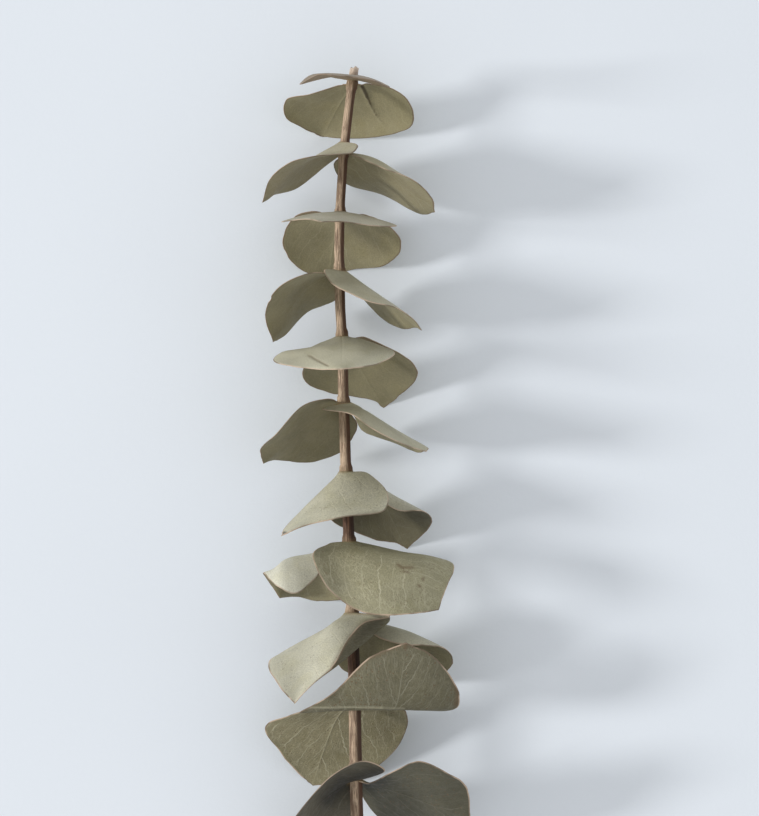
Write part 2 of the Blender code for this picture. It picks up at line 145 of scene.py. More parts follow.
# A leaf's points count from its node as the eye above the branch sees them, with their height above
# the stem third. rib runs from the base towards the tip. near is the margin on the left or towards
# the eye and far the other one, both from the base towards the tip. facing is the side of the stem
# that the base sits on, in degrees: 0 up, 90 right, -90 left. seat lifts the base along the stem.
# far_fold, where a leaf has one, is the bottom of a crease between its rib and its far margin.
LEAVES = {
    "leaf_01_front": dict(
        node=1, facing=0, seat=1.2, rib=[(-0.5, 2.6, 12)], tip=(-2, 2.2, 25),
        near=[(-5, 1.8, 1), (-11, 2.3, 5), (-14.3, -0.4, 12), (-9, 2.6, 22)],
        far=[(5, 0.6, 1), (10, -0.9, 5), (9.5, -0.8, 13), (5, 1, 22)]),
    "leaf_01_back": dict(
        node=1, facing=180, seat=0, rib=[(-4, -6.5, -12)], tip=(-8.2, -14.8, -20.6),
        near=[(-4.5, -0.4, -1.5), (-12, -2.6, -3), (-18.4, -4.2, -5), (-18.4, -9.3, -11),
              (-13, -12.6, -16)],
        far=[(5, 0, -1.5), (11.5, -1.5, -3), (16, -5.2, -6), (17, -11, -12), (12, -13.7, -15),
             (2, -15, -18)]),
    "leaf_02_left": dict(
        node=2, facing=-90, seat=2.2, rib=[(-11, -4, 2)], tip=(-22.7, -14.6, 0),
        near=[(3.8, 1.6, 5), (2.4, -0.4, 9), (-3, -1, 13), (-9, -1.8, 18), (-15, -3.6, 19), (-20.3, -8, 12)],
        far=[(1, 0, -5), (-5, -4.5, -10), (-13, -10.5, -12), (-20, -12.2, -6)]),
    "leaf_02_right": dict(
        node=2, facing=90, seat=-0.8, rib=[(9, -3.4, 2), (19, -11.5, 2)], tip=(25.6, -17.3, -1),
        near=[(3.5, -1.8, 7), (11, -5.4, 15), (19.5, -8.8, 15), (24.8, -13.5, 7)],
        far=[(-2.6, -4, -6), (1, -9.7, -13), (11, -12.8, -18), (21, -17.8, -11)]),
    "leaf_03_front": dict(
        node=3, facing=0, seat=0.8, rib=[(-1, 0.4, 13)], tip=(-5.2, -1.9, 26),
        near=[(-5.6, -0.2, 1.5), (-11.5, -0.9, 5), (-16.1, -1.9, 12), (-9.6, -1.3, 20)],
        far=[(5.4, -0.4, 1.5), (10.5, -1.5, 5), (16, -3, 11), (9.4, -2.7, 19), (1.2, -1.4, 24)]),
    "leaf_03_back": dict(
        node=3, facing=180, seat=-0.4, rib=[(-1.5, -6.5, -12)], tip=(-3, -17.4, -20.5),
        near=[(-7, 1, -1.5), (-12.6, -0.9, -4), (-15.6, -6.5, -8), (-14.6, -11, -12), (-10.5, -15.3, -17)],
        far=[(6, 0.4, -1.5), (11.5, -1.6, -3), (16.4, -6, -7), (16.6, -10.6, -11), (12, -14.4, -15),
             (4, -15.1, -19)]),
    "leaf_04_left": dict(
        node=4, facing=-90, seat=0, rib=[(-11, -6, 1)], tip=(-18.6, -19.6, 0),
        near=[(-2.5, -0.6, 5), (-9, -0.9, 16), (-17.5, -5.2, 18), (-20.8, -12.5, 9)],
        far=[(1, -3.5, -4), (-1.5, -8.2, -9), (-9, -11.6, -12.5), (-15, -17.5, -7)]),
    "leaf_04_right": dict(
        node=4, facing=90, seat=0, rib=[(5, -2.4, 1), (14.2, -9, 3)], tip=(23, -16.3, 0),
        near=[(-4, 0.8, 8), (-2.4, -2.7, 11), (1.4, -5.2, 15), (8.5, -8.4, 18), (15.3, -10, 15),
              (20.4, -13.2, 7)],
        far=[(2, -2, -7), (6, -7, -14), (12.4, -13.2, -14), (18, -15.6, -9), (21.6, -15.2, -3)]),
    "leaf_05_front": dict(
        node=5, facing=0, seat=0, rib=[(0, -2.6, 12)], tip=(0, -9.1, 26),
        near=[(-6, -1.8, 1), (-11, -4.2, 3), (-16.5, -4.6, 5), (-19, -7, 9), (-11, -8.4, 20)],
        far=[(5, -0.6, 1), (11, -3, 3), (14.5, -4.9, 9), (9, -7.8, 19)]),
    "leaf_05_back": dict(
        node=5, facing=165, seat=-1, rib=[(5, -8.5, -12)], tip=(11.6, -19.8, -20.6),
        near=[(-5, -4, -2), (-10.6, -8.4, -6), (-10, -12.8, -12), (-4, -15.6, -17), (3, -16.8, -19),
              (9, -17.9, -19.4)],
        far=[(6, 0.2, -1.5), (12.4, -2.6, -3), (19.5, -7.3, -6), (20.6, -12, -12), (16, -16.4, -17)]),
    "leaf_06_left": dict(
        node=6, facing=-90, seat=0, rib=[(-11, -6.5, 0)], tip=(-22.6, -16.9, -1),
        near=[(-5, 1.3, 7), (-12, -1, 17), (-19, -8.8, 15), (-23.2, -12.8, 6)],
        far=[(3.6, -6.5, -6), (-1, -13.5, -11), (-10, -16.4, -13), (-19, -15.6, -7)]),
    "leaf_06_right": dict(
        node=6, facing=90, seat=0, rib=[(7, -2.8, 1), (16, -8.4, 2)], tip=(23.6, -12.8, 1),
        near=[(-6, -1.8, 8), (1.7, -3.4, 12), (6.6, -6.8, 17), (12, -9.7, 18), (18, -12, 14),
              (22.6, -13.2, 6)],
        far=[(2.5, -3, -7), (5, -7.9, -14), (9, -9.7, -15), (14.5, -11.4, -15), (20.5, -13.8, -7)]),
    "leaf_07_front": dict(
        node=7, facing=-15, seat=0, rib=[(-1.5, -4.8, 9), (-7.5, -11, 15)], tip=(-18.2, -17.9, 17),
        near=[(-4.2, -2.6, 1), (-8.4, -7.2, 1), (-13.2, -12, 4), (-17.4, -16.2, 11)],
        far=[(6, -0.2, 1.5), (11.3, -5.5, 6), (10, -11.2, 13), (-1, -12.9, 20), (-12, -15.4, 20)]),
    "leaf_07_back": dict(
        node=7, facing=150, seat=-1, rib=[(9, -6, -8)], tip=(17, -21.5, -20.6),
        near=[(-4, -6, -3), (-4.5, -13, -9), (2, -16.6, -15), (9, -19.2, -18.4), (14, -19.9, -19.4)],
        far=[(6, -5, -1), (14, -10.4, 1), (21.5, -11.2, 0), (23.5, -15, -8)]),
    "leaf_08_front": dict(
        node=8, facing=20, seat=0, rib=[(7, -3, 8), (17, -8.5, 12)], tip=(25, -19, 10),
        near=[(-6, -0.7, 2), (-10.3, -4, 6), (-5, -14, 13), (5, -19.9, 17), (16, -20.2, 16)],
        far=[(6, -0.9, 0), (15, -3, -1), (25, -4.8, 0), (29.3, -6.8, 3), (27.5, -12, 7)]),
    "leaf_08_back": dict(
        node=8, facing=-150, seat=-1, rib=[(-9.5, -3.4, -4), (-17.8, -5.8, -5)], tip=(-19.4, -15.7, -10),
        near=[(-5, -4, -0.5), (-9.5, -10, 1), (-15, -14.4, 4), (-20, -12.3, 3), (-24, -8.8, -3)],
        far=[(3, -7, -8), (0, -15, -14), (-8, -16.2, -19), (-14, -15.2, -18)]),
    "leaf_09_front": dict(
        node=9, facing=-25, seat=0, rib=[(-7, -7.5, 7)], tip=(-16, -25.3, 15),
        near=[(-4, -2.9, 1), (-12, -6.8, 2), (-20, -11.3, 4), (-23.4, -14.5, 9), (-20, -21, 13)],
        far=[(10.5, -0.8, 5), (3, -2.5, 10), (-1.5, -7.5, 13), (-5.6, -15, 16), (-10.8, -20.2, 16)],
        far_fold=[(9, -2, 3), (6.2, -5.6, 6), (1.4, -9.6, 10), (-4.6, -14.4, 13), (-11.8, -19.8, 14)]),
    "leaf_09_back": dict(
        node=9, facing=150, seat=-1, rib=[(13, -6.3, -6)], tip=(24, -19, -12),
        near=[(-4, -8, -7), (-3.5, -14.5, -13), (5, -19, -18.5), (15, -20.3, -20.6)],
        far=[(6, -6, 1), (13, -8.7, 4), (20, -9.2, 3), (26, -10, 0), (28.2, -13.5, -5)]),
    "leaf_10_front": dict(
        node=10, facing=25, seat=-2, rib=[(5, -4.3, 5), (11, -5, 9), (13, 3, 14)], tip=(14.3, 13.3, 16),
        near=[(-7, -4.2, 1), (-15.2, -6.2, 4), (-6, -0.8, 11), (4, 8.8, 15)],
        far=[(9, -4.6, 0.5), (20, -5.2, 2), (28.5, -4.6, 5), (28.4, 1.2, 10), (22.5, 9, 14)]),
    "leaf_10_back": dict(
        node=10, facing=-165, seat=-3, rib=[(-5, -8, -8), (-9, -18, -15)], tip=(-11.6, -26.6, -20.6),
        near=[(-8, -4, -2), (-18, -6.8, -4), (-25, -10.3, -8), (-21, -17, -13), (-16, -23, -18)],
        far=[(8.5, -3, -2), (13.6, -5.4, -4), (14.7, -9.8, -9), (10.6, -17.4, -15), (0, -25, -19)]),
    "leaf_11_left": dict(
        node=11, facing=-90, seat=-3, rib=[(-11, -10, 1)], tip=(-21, -24, 3),
        near=[(8, -0.2, 9.5), (2, 2.5, 13), (-6, -1.4, 16), (-12.6, -8.2, 16), (-18.8, -16.4, 11)],
        far=[(0.5, -9.5, -5), (-3, -17.5, -15), (-12, -23, -17), (-18, -26, -8)]),
    "leaf_11_right": dict(
        node=11, facing=90, seat=-3, rib=[(14, -7, 1)], tip=(32, -14, 4),
        near=[(4, -3.4, 3.5), (11, 0.2, 11), (18, 2.7, 16), (26, -1, 15), (31, -5, 10)],
        far=[(0.5, -5, -7), (6, -13, -15), (16, -19, -18), (26, -19, -10)]),
}

# Stretches of the stem with painted shade below the leaves over them: middle, half length along it and how
# dark.
SHADED_STRETCHES = ((-31.0, 7.0, 1.0), (-69.0, 9.0, 1.0), (-91.0, 9.0, 0.3), (-128.0, 12.0, 1.0))

# How a leaf differs from the plain one: pale with bloom above, or painted shade there below 0, then a
# darker under face as painted shade, or painted light there below 0, warm where browned, or olive below 0,
# and veins for their strength, which rib, net and dots take over unless they are given. slant is how far
# the side veins lean towards the tip.
LOOKS = {
    "leaf_01_front": dict(pale=-0.1, warm=0.6, veins=0.1),
    "leaf_01_back": dict(under_shade=-0.08, veins=0.2, rib=0.1, slant=1.6),
    "leaf_02_left": dict(pale=0.2, warm=0.1, veins=0.2),
    "leaf_02_right": dict(warm=0.05, veins=0.25, slant=1.2),
    "leaf_03_front": dict(pale=0.6, warm=0.15, veins=0.1),
    "leaf_03_back": dict(under_shade=0.1, veins=0.25, rib=0.2, slant=2.0),
    "leaf_04_left": dict(under_shade=0.15, veins=0.1, slant=1.2),
    "leaf_04_right": dict(pale=0.2, veins=0.15),
    "leaf_05_front": dict(pale=0.25, veins=0.2),
    "leaf_05_back": dict(under_shade=0.22, veins=0.15, rib=0.05, slant=1.2),
    "leaf_06_left": dict(under_shade=0.4, veins=0.1, slant=1.2),
    "leaf_06_right": dict(pale=0.1, veins=0.15),
    "leaf_07_front": dict(pale=0.3, veins=0.6, rib=0.05, net=0.9, slant=0.9),
    "leaf_07_back": dict(pale=0.6, under_shade=0.85, veins=0.3),
    "leaf_08_front": dict(warm=-1.0, veins=0.65, rib=0.0, net=0.8, dots=0.6, slant=0.85),
    "leaf_08_back": dict(pale=0.7, veins=0.3),
    "leaf_09_front": dict(pale=0.5, under_shade=0.45, veins=0.5, rib=0.1, net=0.8),
    "leaf_09_back": dict(pale=0.35, under_shade=0.3, veins=0.3),
    "leaf_10_front": dict(warm=-0.5, under_shade=0.9, veins=0.9, dots=1.3, slant=2.2),
    "leaf_10_back": dict(under_shade=0.15, veins=0.9, rib=0.6, slant=2.0),
    "leaf_11_left": dict(pale=-0.9, warm=0.15, under_shade=1.15, veins=0.5, slant=1.2),
    "leaf_11_right": dict(pale=-0.8, warm=-0.9, under_shade=1.25, veins=0.6, dots=1.2, slant=1.2),
}


def mark(kind, width, path, depth=0.0, strength=1.0, from_u=-1.0):
    """A mark along points that count from the leaf's node as the eye sees them, in millimetres.

    from_u is the place across the blade, -1 to 1, where the mark starts.
    """
    return dict(kind=kind, width=width, path=path, depth=depth, strength=strength, from_u=from_u)


# Creases with painted shade, stains, painted highlights along lines, painted shade and nicks of the margin.
MARKS = {
    "leaf_01_back": [
        # A crease with painted shade along it.
        mark("shaded_crease", 0.6, depth=0.4, path=[(2.9, -0.3), (4.2, -3)]),
        mark("shaded_crease", 0.5, depth=0.3, strength=0.85, path=[(4.2, -3), (5.2, -5.2)]),
        mark("shaded_crease", 0.5, depth=0.3, strength=0.65, path=[(5.2, -5.2), (6.8, -8.3)]),
        mark("shaded_crease", 0.5, depth=0.2, strength=0.45, path=[(6.8, -8.3), (8, -9.9), (9.2, -11.1)]),
        mark("nick", 0.7, depth=0.8, path=[(-7.2, -14.9), (-7.2, -14.5)])],
    "leaf_03_back": [
        # Painted shade on the under face where its top margin shows above the front leaf.
        mark("stain_and_shade", 0.9, path=[(-12.4, -0.9), (-9, 0.6), (-4, 1.1)]),
        mark("shade", 2.4, depth=0.2, strength=0.45, path=[(3.5, -2), (8, -6), (13, -9)])],
    "leaf_04_left": [mark("nick", 0.55, depth=0.8, path=[(-20.4, -7.6), (-19.6, -7.6)])],
    "leaf_05_front": [
        mark("stain_and_shade", 0.3, depth=0.15, path=[(-9.3, -5.3), (-7.5, -6.4), (-4, -8.2)])],
    # Painted shade on the under face where its top margin shows above the front leaf.
    "leaf_05_back": [mark("stain_and_shade", 0.9, path=[(4, 0.6), (9, -1), (13, -3)])],
    "leaf_07_front": [
        # Painted shade in the curled tip.
        mark("shaded_crease", 1.0, path=[(-18.8, -18), (-17.2, -17.6)]),
        mark("stain_and_shade", 0.5, strength=0.5, path=[(10, -11.2), (-1, -12.9), (-12, -15.4)])],
    "leaf_07_back": [
        mark("shade", 3.5, strength=0.5, path=[(2, -11), (8, -11.5), (15, -12), (21, -13)])],
    "leaf_08_front": [
        mark("shade", 5.0, strength=0.7, path=[(-8, -4), (-4, -12)]),
        mark("stain_and_shade", 0.5, path=[(13.6, -6.5), (15, -7.3), (17.6, -7.2)]),
        mark("stain_and_shade", 0.35, path=[(15, -8.3), (16.6, -8.5)]),
        mark("stain_and_shade", 0.4, path=[(19.4, -12.2), (19.9, -12.6)]),
        mark("stain_and_shade", 0.35, path=[(20.6, -10.2), (20.7, -10.8)])],
    "leaf_09_front": [
        mark("shade", 3.0, from_u=0.5, path=[(7, -2), (3, -5.5), (-1, -9.8), (-5, -14)]),
        mark("stain_and_shade", 0.5, strength=0.7, path=[(10, -0.8), (3, -2.5), (-1.5, -7.5), (-5.6, -15)]),
        mark("nick", 0.5, depth=0.6, path=[(-6.6, -16), (-6.2, -15.6)])],
    "leaf_09_back": [mark("shade", 3.5, strength=0.7, path=[(2, -5), (5, -8), (4, -13)])],
    "leaf_10_front": [
        mark("stain_and_shade", 0.8, path=[(14.3, 13), (14.2, 12.2)]),
        mark("stain_and_shade", 0.5, strength=0.6, path=[(14, 13), (4, 8.8), (-6, -0.8), (-15, -6)]),
        mark("stain_and_shade", 0.8, path=[(27.6, 3.6), (29, -0.7), (28.4, -4)]),
        # Painted highlight along the fold.
        mark("line", 0.22, depth=0.15, strength=0.6, path=[(-13, -4.8), (0, -4.6), (8, -4.8)]),
        mark("line", 0.22, depth=0.1, strength=0.3, path=[(8, -4.8), (14, -5)])],
    "leaf_10_back": [mark("shade", 3.5, strength=0.3, path=[(4, -4), (9, -7), (9, -13)])],
    "leaf_11_left": [
        mark("shade", 2.8, strength=1.2, path=[(-8, -8), (-4, -3.5), (7, -0.5)])],
    "leaf_11_right": [mark("shade", 2.6, path=[(0, -4), (7, -3)])],
}
PAINTED_MARKS = ("shaded_crease", "stain_and_shade", "line", "shade")


def srgb(red, green, blue):
    """A colour as seen on a screen, 0 to 255, as the linear values that a shader takes."""
    shares = [value / 255 for value in (red, green, blue)]
    return tuple(share / 12.92 if share <= 0.04045 else ((share + 0.055) / 1.055) ** 2.4 for share in shares)


def colour(name, words, value):
    return FloatVectorProperty(
        name=name, description=words, subtype="COLOR", size=3, min=0.0, max=1.0, default=srgb(*value))


def length(name, words, value, least=0.0):
    return FloatProperty(name=name, description=words, default=value, min=least, unit="LENGTH")


class BranchSizes(bpy.types.PropertyGroup):
    """Sizes of the finer pieces."""

    blade: length("Blade", "Thickness of a leaf's blade", 0.00036, 0.0001)
    rib: length("Rib", "How far the rib stands out under a leaf", 0.00014)
    vein_spacing: length("Vein spacing", "Distance between side veins", 0.0032, 0.001)
    bark_relief: length("Bark relief", "Height of the stem's long ridges", 0.00006)


class BranchColours(bpy.types.PropertyGroup):
    """Colours of the leaves, the stem and the surface below them."""

    upper: colour("Upper face", "Waxy face that turns to the branch's tip", (178, 173, 148))
    under: colour("Under face", "Face that turns to the branch's foot", (145, 137, 107))
    pale: colour("Pale bloom", "Where the wax is thick", (212, 210, 194))
    warm: colour("Browned face", "Where a leaf has browned", (134, 108, 92))
    olive: colour("Olive face", "Where a leaf has lost its bloom", (148, 143, 115))
    # Also the colour of the painted highlight along the line marks.
    vein: colour("Veins", "Ribs and net of veins", (212, 206, 178))
    margin: colour("Margin", "Dry rim of a leaf", (194, 170, 148))
    rim_dark: colour("Dark margin", "Browned stretches of the rim", (116, 98, 80))
    clasp: colour("Leaf base", "Where a leaf clasps the stem", (150, 128, 86))
    # Stains and dots, and also painted shade along two top margins.
    stain_and_shade: colour("Stains", "Dead spots and folds", (98, 76, 52))
    # Painted shade at the bottom of a sharp fold.
    shaded_crease: colour("Creases", "Bottom of a sharp fold", (60, 48, 30))
    bark: colour("Bark", "Tan bark", (210, 184, 156))
    # Also the painted shade on the stem's right side.
    bark_dark: colour("Dark bark", "Red-brown streaks in the bark", (88, 58, 42))
    wood: colour("Wood", "Broken and cut ends of the stem", (226, 206, 186))
    surface: colour("Surface", "What the branch lies on", (226, 231, 237))


class Nodes:
    """Short calls that add nodes to one material."""

    def __init__(self, name):
        self.material = bpy.data.materials.new(name)
        self.material.use_nodes = True
        self.tree = self.material.node_tree
        self.shader = self.tree.nodes["Principled BSDF"]

    def feed(self, socket, value):
        if isinstance(value, bpy.types.NodeSocket):
            self.tree.links.new(value, socket)
        elif socket.type == "RGBA":
            socket.default_value = (*value, 1.0)
        else:
            socket.default_value = value

    def add(self, kind, inputs, **settings):
        item = self.tree.nodes.new(kind)
        for name, value in settings.items():
            setattr(item, name, value)
        for name, value in inputs.items():
            self.feed(item.inputs[name], value)
        return item

    def math(self, operation, *values):
        item = self.tree.nodes.new("ShaderNodeMath")
        item.operation = operation
        for socket, value in zip(item.inputs, values):
            self.feed(socket, value)
        return item.outputs[0]

    def plus(self, first, second):
        return self.math("ADD", first, second)

    def less(self, first, second):
        return self.math("SUBTRACT", first, second)

    def times(self, first, second):
        return self.math("MULTIPLY", first, second)

    def most(self, first, second):
        return self.math("MAXIMUM", first, second)

    def step(self, value, low, high, to_low=0.0, to_high=1.0):
        """A smooth step from to_low where value is low to to_high where it is high."""
        inputs = {"Value": value, "From Min": low, "From Max": high, "To Min": to_low, "To Max": to_high}
        return self.add("ShaderNodeMapRange", inputs, interpolation_type="SMOOTHSTEP").outputs["Result"]

    def mix(self, factor, first, second, mode="MIX"):
        item = self.tree.nodes.new("ShaderNodeMix")
        item.data_type = "RGBA"
        item.blend_type = mode
        for socket, value in ((0, factor), (6, first), (7, second)):
            self.feed(item.inputs[socket], value)
        return item.outputs[2]

    def dimmed(self, face, amount):
        """A colour times one number."""
        return self.mix(1.0, face, self.point(amount, amount, amount), "MULTIPLY")

    def attribute(self, name):
        """The three numbers that a mesh holds under a name."""
        source = self.add("ShaderNodeAttribute", {}, attribute_name=name)
        return self.add("ShaderNodeSeparateXYZ", {"Vector": source.outputs["Vector"]}).outputs

    def point(self, x, y, z):
        return self.add("ShaderNodeCombineXYZ", {"X": x, "Y": y, "Z": z}).outputs[0]

    def noise(self, vector, scale, detail=2.0, roughness=0.5):
        inputs = {"Vector": vector, "Scale": scale, "Detail": detail, "Roughness": roughness}
        return self.add("ShaderNodeTexNoise", inputs).outputs["Fac"]

    def cells(self, vector, scale, feature):
        return self.add("ShaderNodeTexVoronoi", {"Vector": vector, "Scale": scale}, feature=feature).outputs

    def bump(self, height, distance):
        inputs = {"Height": height, "Distance": distance, "Strength": 1.0}
        self.feed(self.shader.inputs["Normal"], self.add("ShaderNodeBump", inputs).outputs[0])


# Smooth steps of the leaf's finish: where each starts and ends, and what it gives there when that isn't
# 0 and 1. A width or length is in millimetres, and the others are shares or values of a noise.
UNEVEN_VEINS = (0.3, 0.6, 0.6, 1.0)
CLOUD = (0.3, 0.7, 0.88, 1.08)
GRAIN = (0.32, 0.68, -0.22, 0.19)
OLIVE_PATCHES = (0.45, 0.7)
SHADED_CREASE_EDGE = (0.2, 0.85, 0.0, 0.85)
RIM_WIDTH = (0.46, 0.22)
UNDER_SIDE = (0.4, 0.1)
WEAK_VEINS = (0.55, 0.3)
BROWN_STRETCHES = (0.45, 0.62)
CLASP_LENGTH = (1.6, 0.2)
LEAF_ROUGHNESS = (0.3, 0.7, 0.55, 0.7)
SIDE_VEIN_WIDTH = (0.2, 0.08)
SIDE_VEIN_END = (1.0, 2.2)
SIDE_VEIN_DRAW = (0.15, 0.9, 0.4, 1.0)
LOOP_WIDTH = (0.18, 0.05)
LOOP_DRAW = (0.15, 0.9, 0.1, 0.7)
RIB_VEIN_WIDTH = (0.24, 0.08, 0.0, 0.75)
RIB_VEIN_END = (1.0, 0.6)
NET_WIDTH = (0.16, 0.04)
NET_PATCHES = (0.4, 0.6, 0.3, 1.0)
DOT_WIDTH = (0.28, 0.14)
DOT_CLUSTERS = (0.46, 0.56)

# How fully each of these covers the leaf's face below it.
NET_COVER = 0.4
VEIN_COVER = 0.7
DOT_COVER = 0.7
STAIN_AND_SHADE_COVER = 0.6
HIGHLIGHT_LINE_COVER = 0.6
RIM_COVER = 0.8
CLASP_COVER = 0.6
OLIVE_COVER = 0.22
# Painted shade: how far the darker faces and the shade marks darken a leaf.
PAINTED_SHADE_COVER = 0.6
GRAIN_BY_VEINS, GRAIN_ANYWAY = 0.6, 0.35
OLIVE_TINT = srgb(226, 222, 186)

# Scales of the noises and nets, per millimetre, and how far the veins stray, in vein spacings.
PATCH_SCALE = 0.16
CLOUD_SCALE = 0.1
OLIVE_SCALE = 0.19
GRAIN_SCALE = 3.0
PORE_SCALE = 2.2
NET_SCALE = 2.6
NET_STRETCH = 0.3
VEIN_BEND = 1.4
VEIN_SHIVER = 0.35
LOOP_INSET = 1.8
SEED_STEP = 37.0
LEAF_RELIEF = 0.08 * MM

# The same for the bark and for the board below it, whose noises count in metres.
STREAK_EDGE = (0.42, 0.58)
GROOVE_EDGE = (0.54, 0.62)
BARK_PATCHES = (0.35, 0.65)
# Painted shade on the stem's right side, away from the lamp.
SHADED_SIDE = (-0.1, 0.85, 0.0, 0.95)
FINE_SHADE = (0.2, 0.8, 0.85, 1.1)
BARK_ROUGHNESS = (0.2, 0.8, 0.6, 0.8)
STREAK_BY_PATCH, STREAK_ANYWAY = 0.45, 0.25
GROOVE_COVER = 0.7
# Painted shade of the stretches below the leaves: how fully it covers the bark, and its colours.
STRETCH_SHADE_COVER = 0.9
NODE_COVER = 0.5
STRETCH_SHADE_TAN = srgb(104, 68, 48)
STRETCH_SHADE_RED = srgb(50, 32, 22)
NODE_TINT = srgb(128, 106, 72)
BARK_RELIEF = 0.1 * MM
BOARD_SHADE = (0.3, 0.7, 0.985, 1.0)
BOARD_CLOUD_SCALE = 9.0
BOARD_GRAIN_SCALE = 900.0
BOARD_RELIEF = 0.03 * MM


def leaf_finish(colours, sizes):
    """Dried leaf: waxy above, olive below, with a rib, looped side veins, a fine net and a dry rim."""
    n = Nodes("dried_leaf")
    # The blade's first number is the painted shade that the shade marks put on it.
    dark, v, side = n.attribute("blade")
    across, along, margin = n.attribute("span")
    pale, warm, under_shade = n.attribute("tone")
    strength, slant, seed = n.attribute("veining")
    rib_strength, net_strength, dot_strength = n.attribute("detail")
    shaded_crease, stain_and_shade, line = n.attribute("marks")
    place = n.point(across, along, n.times(seed, SEED_STEP))
    rib, veins, net = leaf_veins(n, across, along, margin, v, slant, place, sizes.vein_spacing / MM)
    veins = n.times(n.times(veins, strength), n.step(n.noise(place, PATCH_SCALE), *UNEVEN_VEINS))
    veins = n.most(veins, n.times(rib, rib_strength))
    net = n.times(net, n.times(net_strength, NET_COVER))

    face = n.mix(side, colours.under, colours.upper)
    face = n.mix(n.times(n.most(pale, 0.0), side), face, colours.pale)
    face = n.mix(n.most(warm, 0.0), face, colours.warm)
    face = n.mix(n.most(n.times(warm, -1.0), 0.0), face, colours.olive)
    cloud = n.step(n.noise(place, CLOUD_SCALE, 3.0), *CLOUD)
    grain = n.step(n.noise(place, GRAIN_SCALE, 3.0, 0.6), *GRAIN)
    grain_share = n.math("MULTIPLY_ADD", strength, GRAIN_BY_VEINS, GRAIN_ANYWAY)
    grain = n.math("MULTIPLY_ADD", grain, grain_share, 1.0)
    # Painted shade: upper faces darker where pale is below 0, under faces darker by the leaf's look, both
    # darker under the shade marks, and the veins dimmed with them.
    painted_shade_above = n.times(n.most(n.times(pale, -1.0), 0.0), side)
    painted_shade_below = n.times(under_shade, n.less(1.0, side))
    fade = n.less(1.0, n.times(n.plus(painted_shade_above, painted_shade_below), PAINTED_SHADE_COVER))
    fade = n.times(fade, n.math("MULTIPLY_ADD", dark, -PAINTED_SHADE_COVER, 1.0))
    face = n.dimmed(face, n.times(n.times(cloud, grain), fade))
    olive = n.times(n.step(n.noise(place, OLIVE_SCALE, 2.0), *OLIVE_PATCHES), OLIVE_COVER)
    face = n.mix(olive, face, n.mix(1.0, face, OLIVE_TINT, "MULTIPLY"))

    face = n.mix(n.times(n.most(veins, net), VEIN_COVER), face, n.dimmed(colours.vein, fade))
    face = n.mix(n.times(leaf_dots(n, place, dot_strength), DOT_COVER), face, colours.stain_and_shade)
    # Stains, and painted shade where a stain mark follows a shaded top margin.
    face = n.mix(n.times(stain_and_shade, STAIN_AND_SHADE_COVER), face, colours.stain_and_shade)
    # Painted shade along the creases.
    face = n.mix(n.step(shaded_crease, *SHADED_CREASE_EDGE), face, colours.shaded_crease)
    # Painted highlight along the line marks.
    face = n.mix(n.times(line, HIGHLIGHT_LINE_COVER), face, colours.vein)
    rim = n.step(n.plus(margin, n.times(n.noise(place, 0.5), 0.2)), *RIM_WIDTH)
    dark_below = n.times(n.step(side, *UNDER_SIDE), n.step(strength, *WEAK_VEINS))
    darkened = n.most(n.step(n.noise(place, PATCH_SCALE), *BROWN_STRETCHES), dark_below)
    rim_colour = n.mix(n.most(darkened, warm), colours.margin, colours.rim_dark)
    face = n.mix(n.times(rim, RIM_COVER), face, rim_colour)
    face = n.mix(n.times(n.step(along, *CLASP_LENGTH), CLASP_COVER), face, colours.clasp)

    n.feed(n.shader.inputs["Base Color"], face)
    n.feed(n.shader.inputs["Roughness"], n.step(n.noise(place, 0.9), *LEAF_ROUGHNESS))
    n.shader.inputs["Specular IOR Level"].default_value = 0.35
    n.bump(n.plus(veins, n.times(n.noise(place, PORE_SCALE, 3.0), 0.7)), LEAF_RELIEF)
    return n.material


def leaf_veins(n, across, along, margin, v, slant, place, spacing):
    """A rib, side veins at a slant with loops that join them, and the net between them."""
    outward = n.math("ABSOLUTE", across)
    half = n.math("SIGN", across)
    bend = n.times(n.less(n.noise(place, CLOUD_SCALE), 0.5), VEIN_BEND)
    shiver = n.times(n.less(n.noise(place, 0.7), 0.5), VEIN_SHIVER)
    run = n.times(n.math("SQRT", n.math("MULTIPLY_ADD", slant, slant, 1.0)), spacing)
    rise = n.math("DIVIDE", n.less(along, n.times(outward, slant)), run)
    turns = n.plus(n.plus(rise, n.times(half, 0.25)), n.plus(bend, shiver))
    part = n.math("FRACT", turns)
    number = n.point(n.math("FLOOR", turns), half, n.times(slant, 9.0))
    draw = n.add("ShaderNodeTexWhiteNoise", {"Vector": number}, noise_dimensions="3D").outputs["Value"]
    from_vein = n.times(n.math("ABSOLUTE", n.less(part, 0.5)), spacing)
    side_veins = n.times(n.step(from_vein, *SIDE_VEIN_WIDTH), n.step(margin, *SIDE_VEIN_END))
    side_veins = n.times(side_veins, n.step(draw, *SIDE_VEIN_DRAW))
    scallop = n.times(n.math("COSINE", n.times(part, 2 * math.pi)), 0.5)
    from_loop = n.math("ABSOLUTE", n.less(margin, n.less(LOOP_INSET, scallop)))
    loops = n.times(n.step(from_loop, *LOOP_WIDTH), n.step(draw, *LOOP_DRAW))
    rib = n.times(n.step(outward, *RIB_VEIN_WIDTH), n.step(v, *RIB_VEIN_END))
    ladder = n.point(n.times(turns, spacing), n.times(outward, NET_STRETCH), half)
    edge = n.cells(ladder, NET_SCALE, "DISTANCE_TO_EDGE")["Distance"]
    net = n.times(n.step(edge, *NET_WIDTH), n.step(n.noise(place, 0.5), *NET_PATCHES))
    return rib, n.most(side_veins, loops), net


def leaf_dots(n, place, strength):
    """Small dark dots in clusters, most on the strongly veined leaves."""
    near = n.cells(place, 1.1, "F1")["Distance"]
    clusters = n.step(n.noise(place, 0.25), *DOT_CLUSTERS)
    return n.times(n.times(n.step(near, *DOT_WIDTH), clusters), strength)


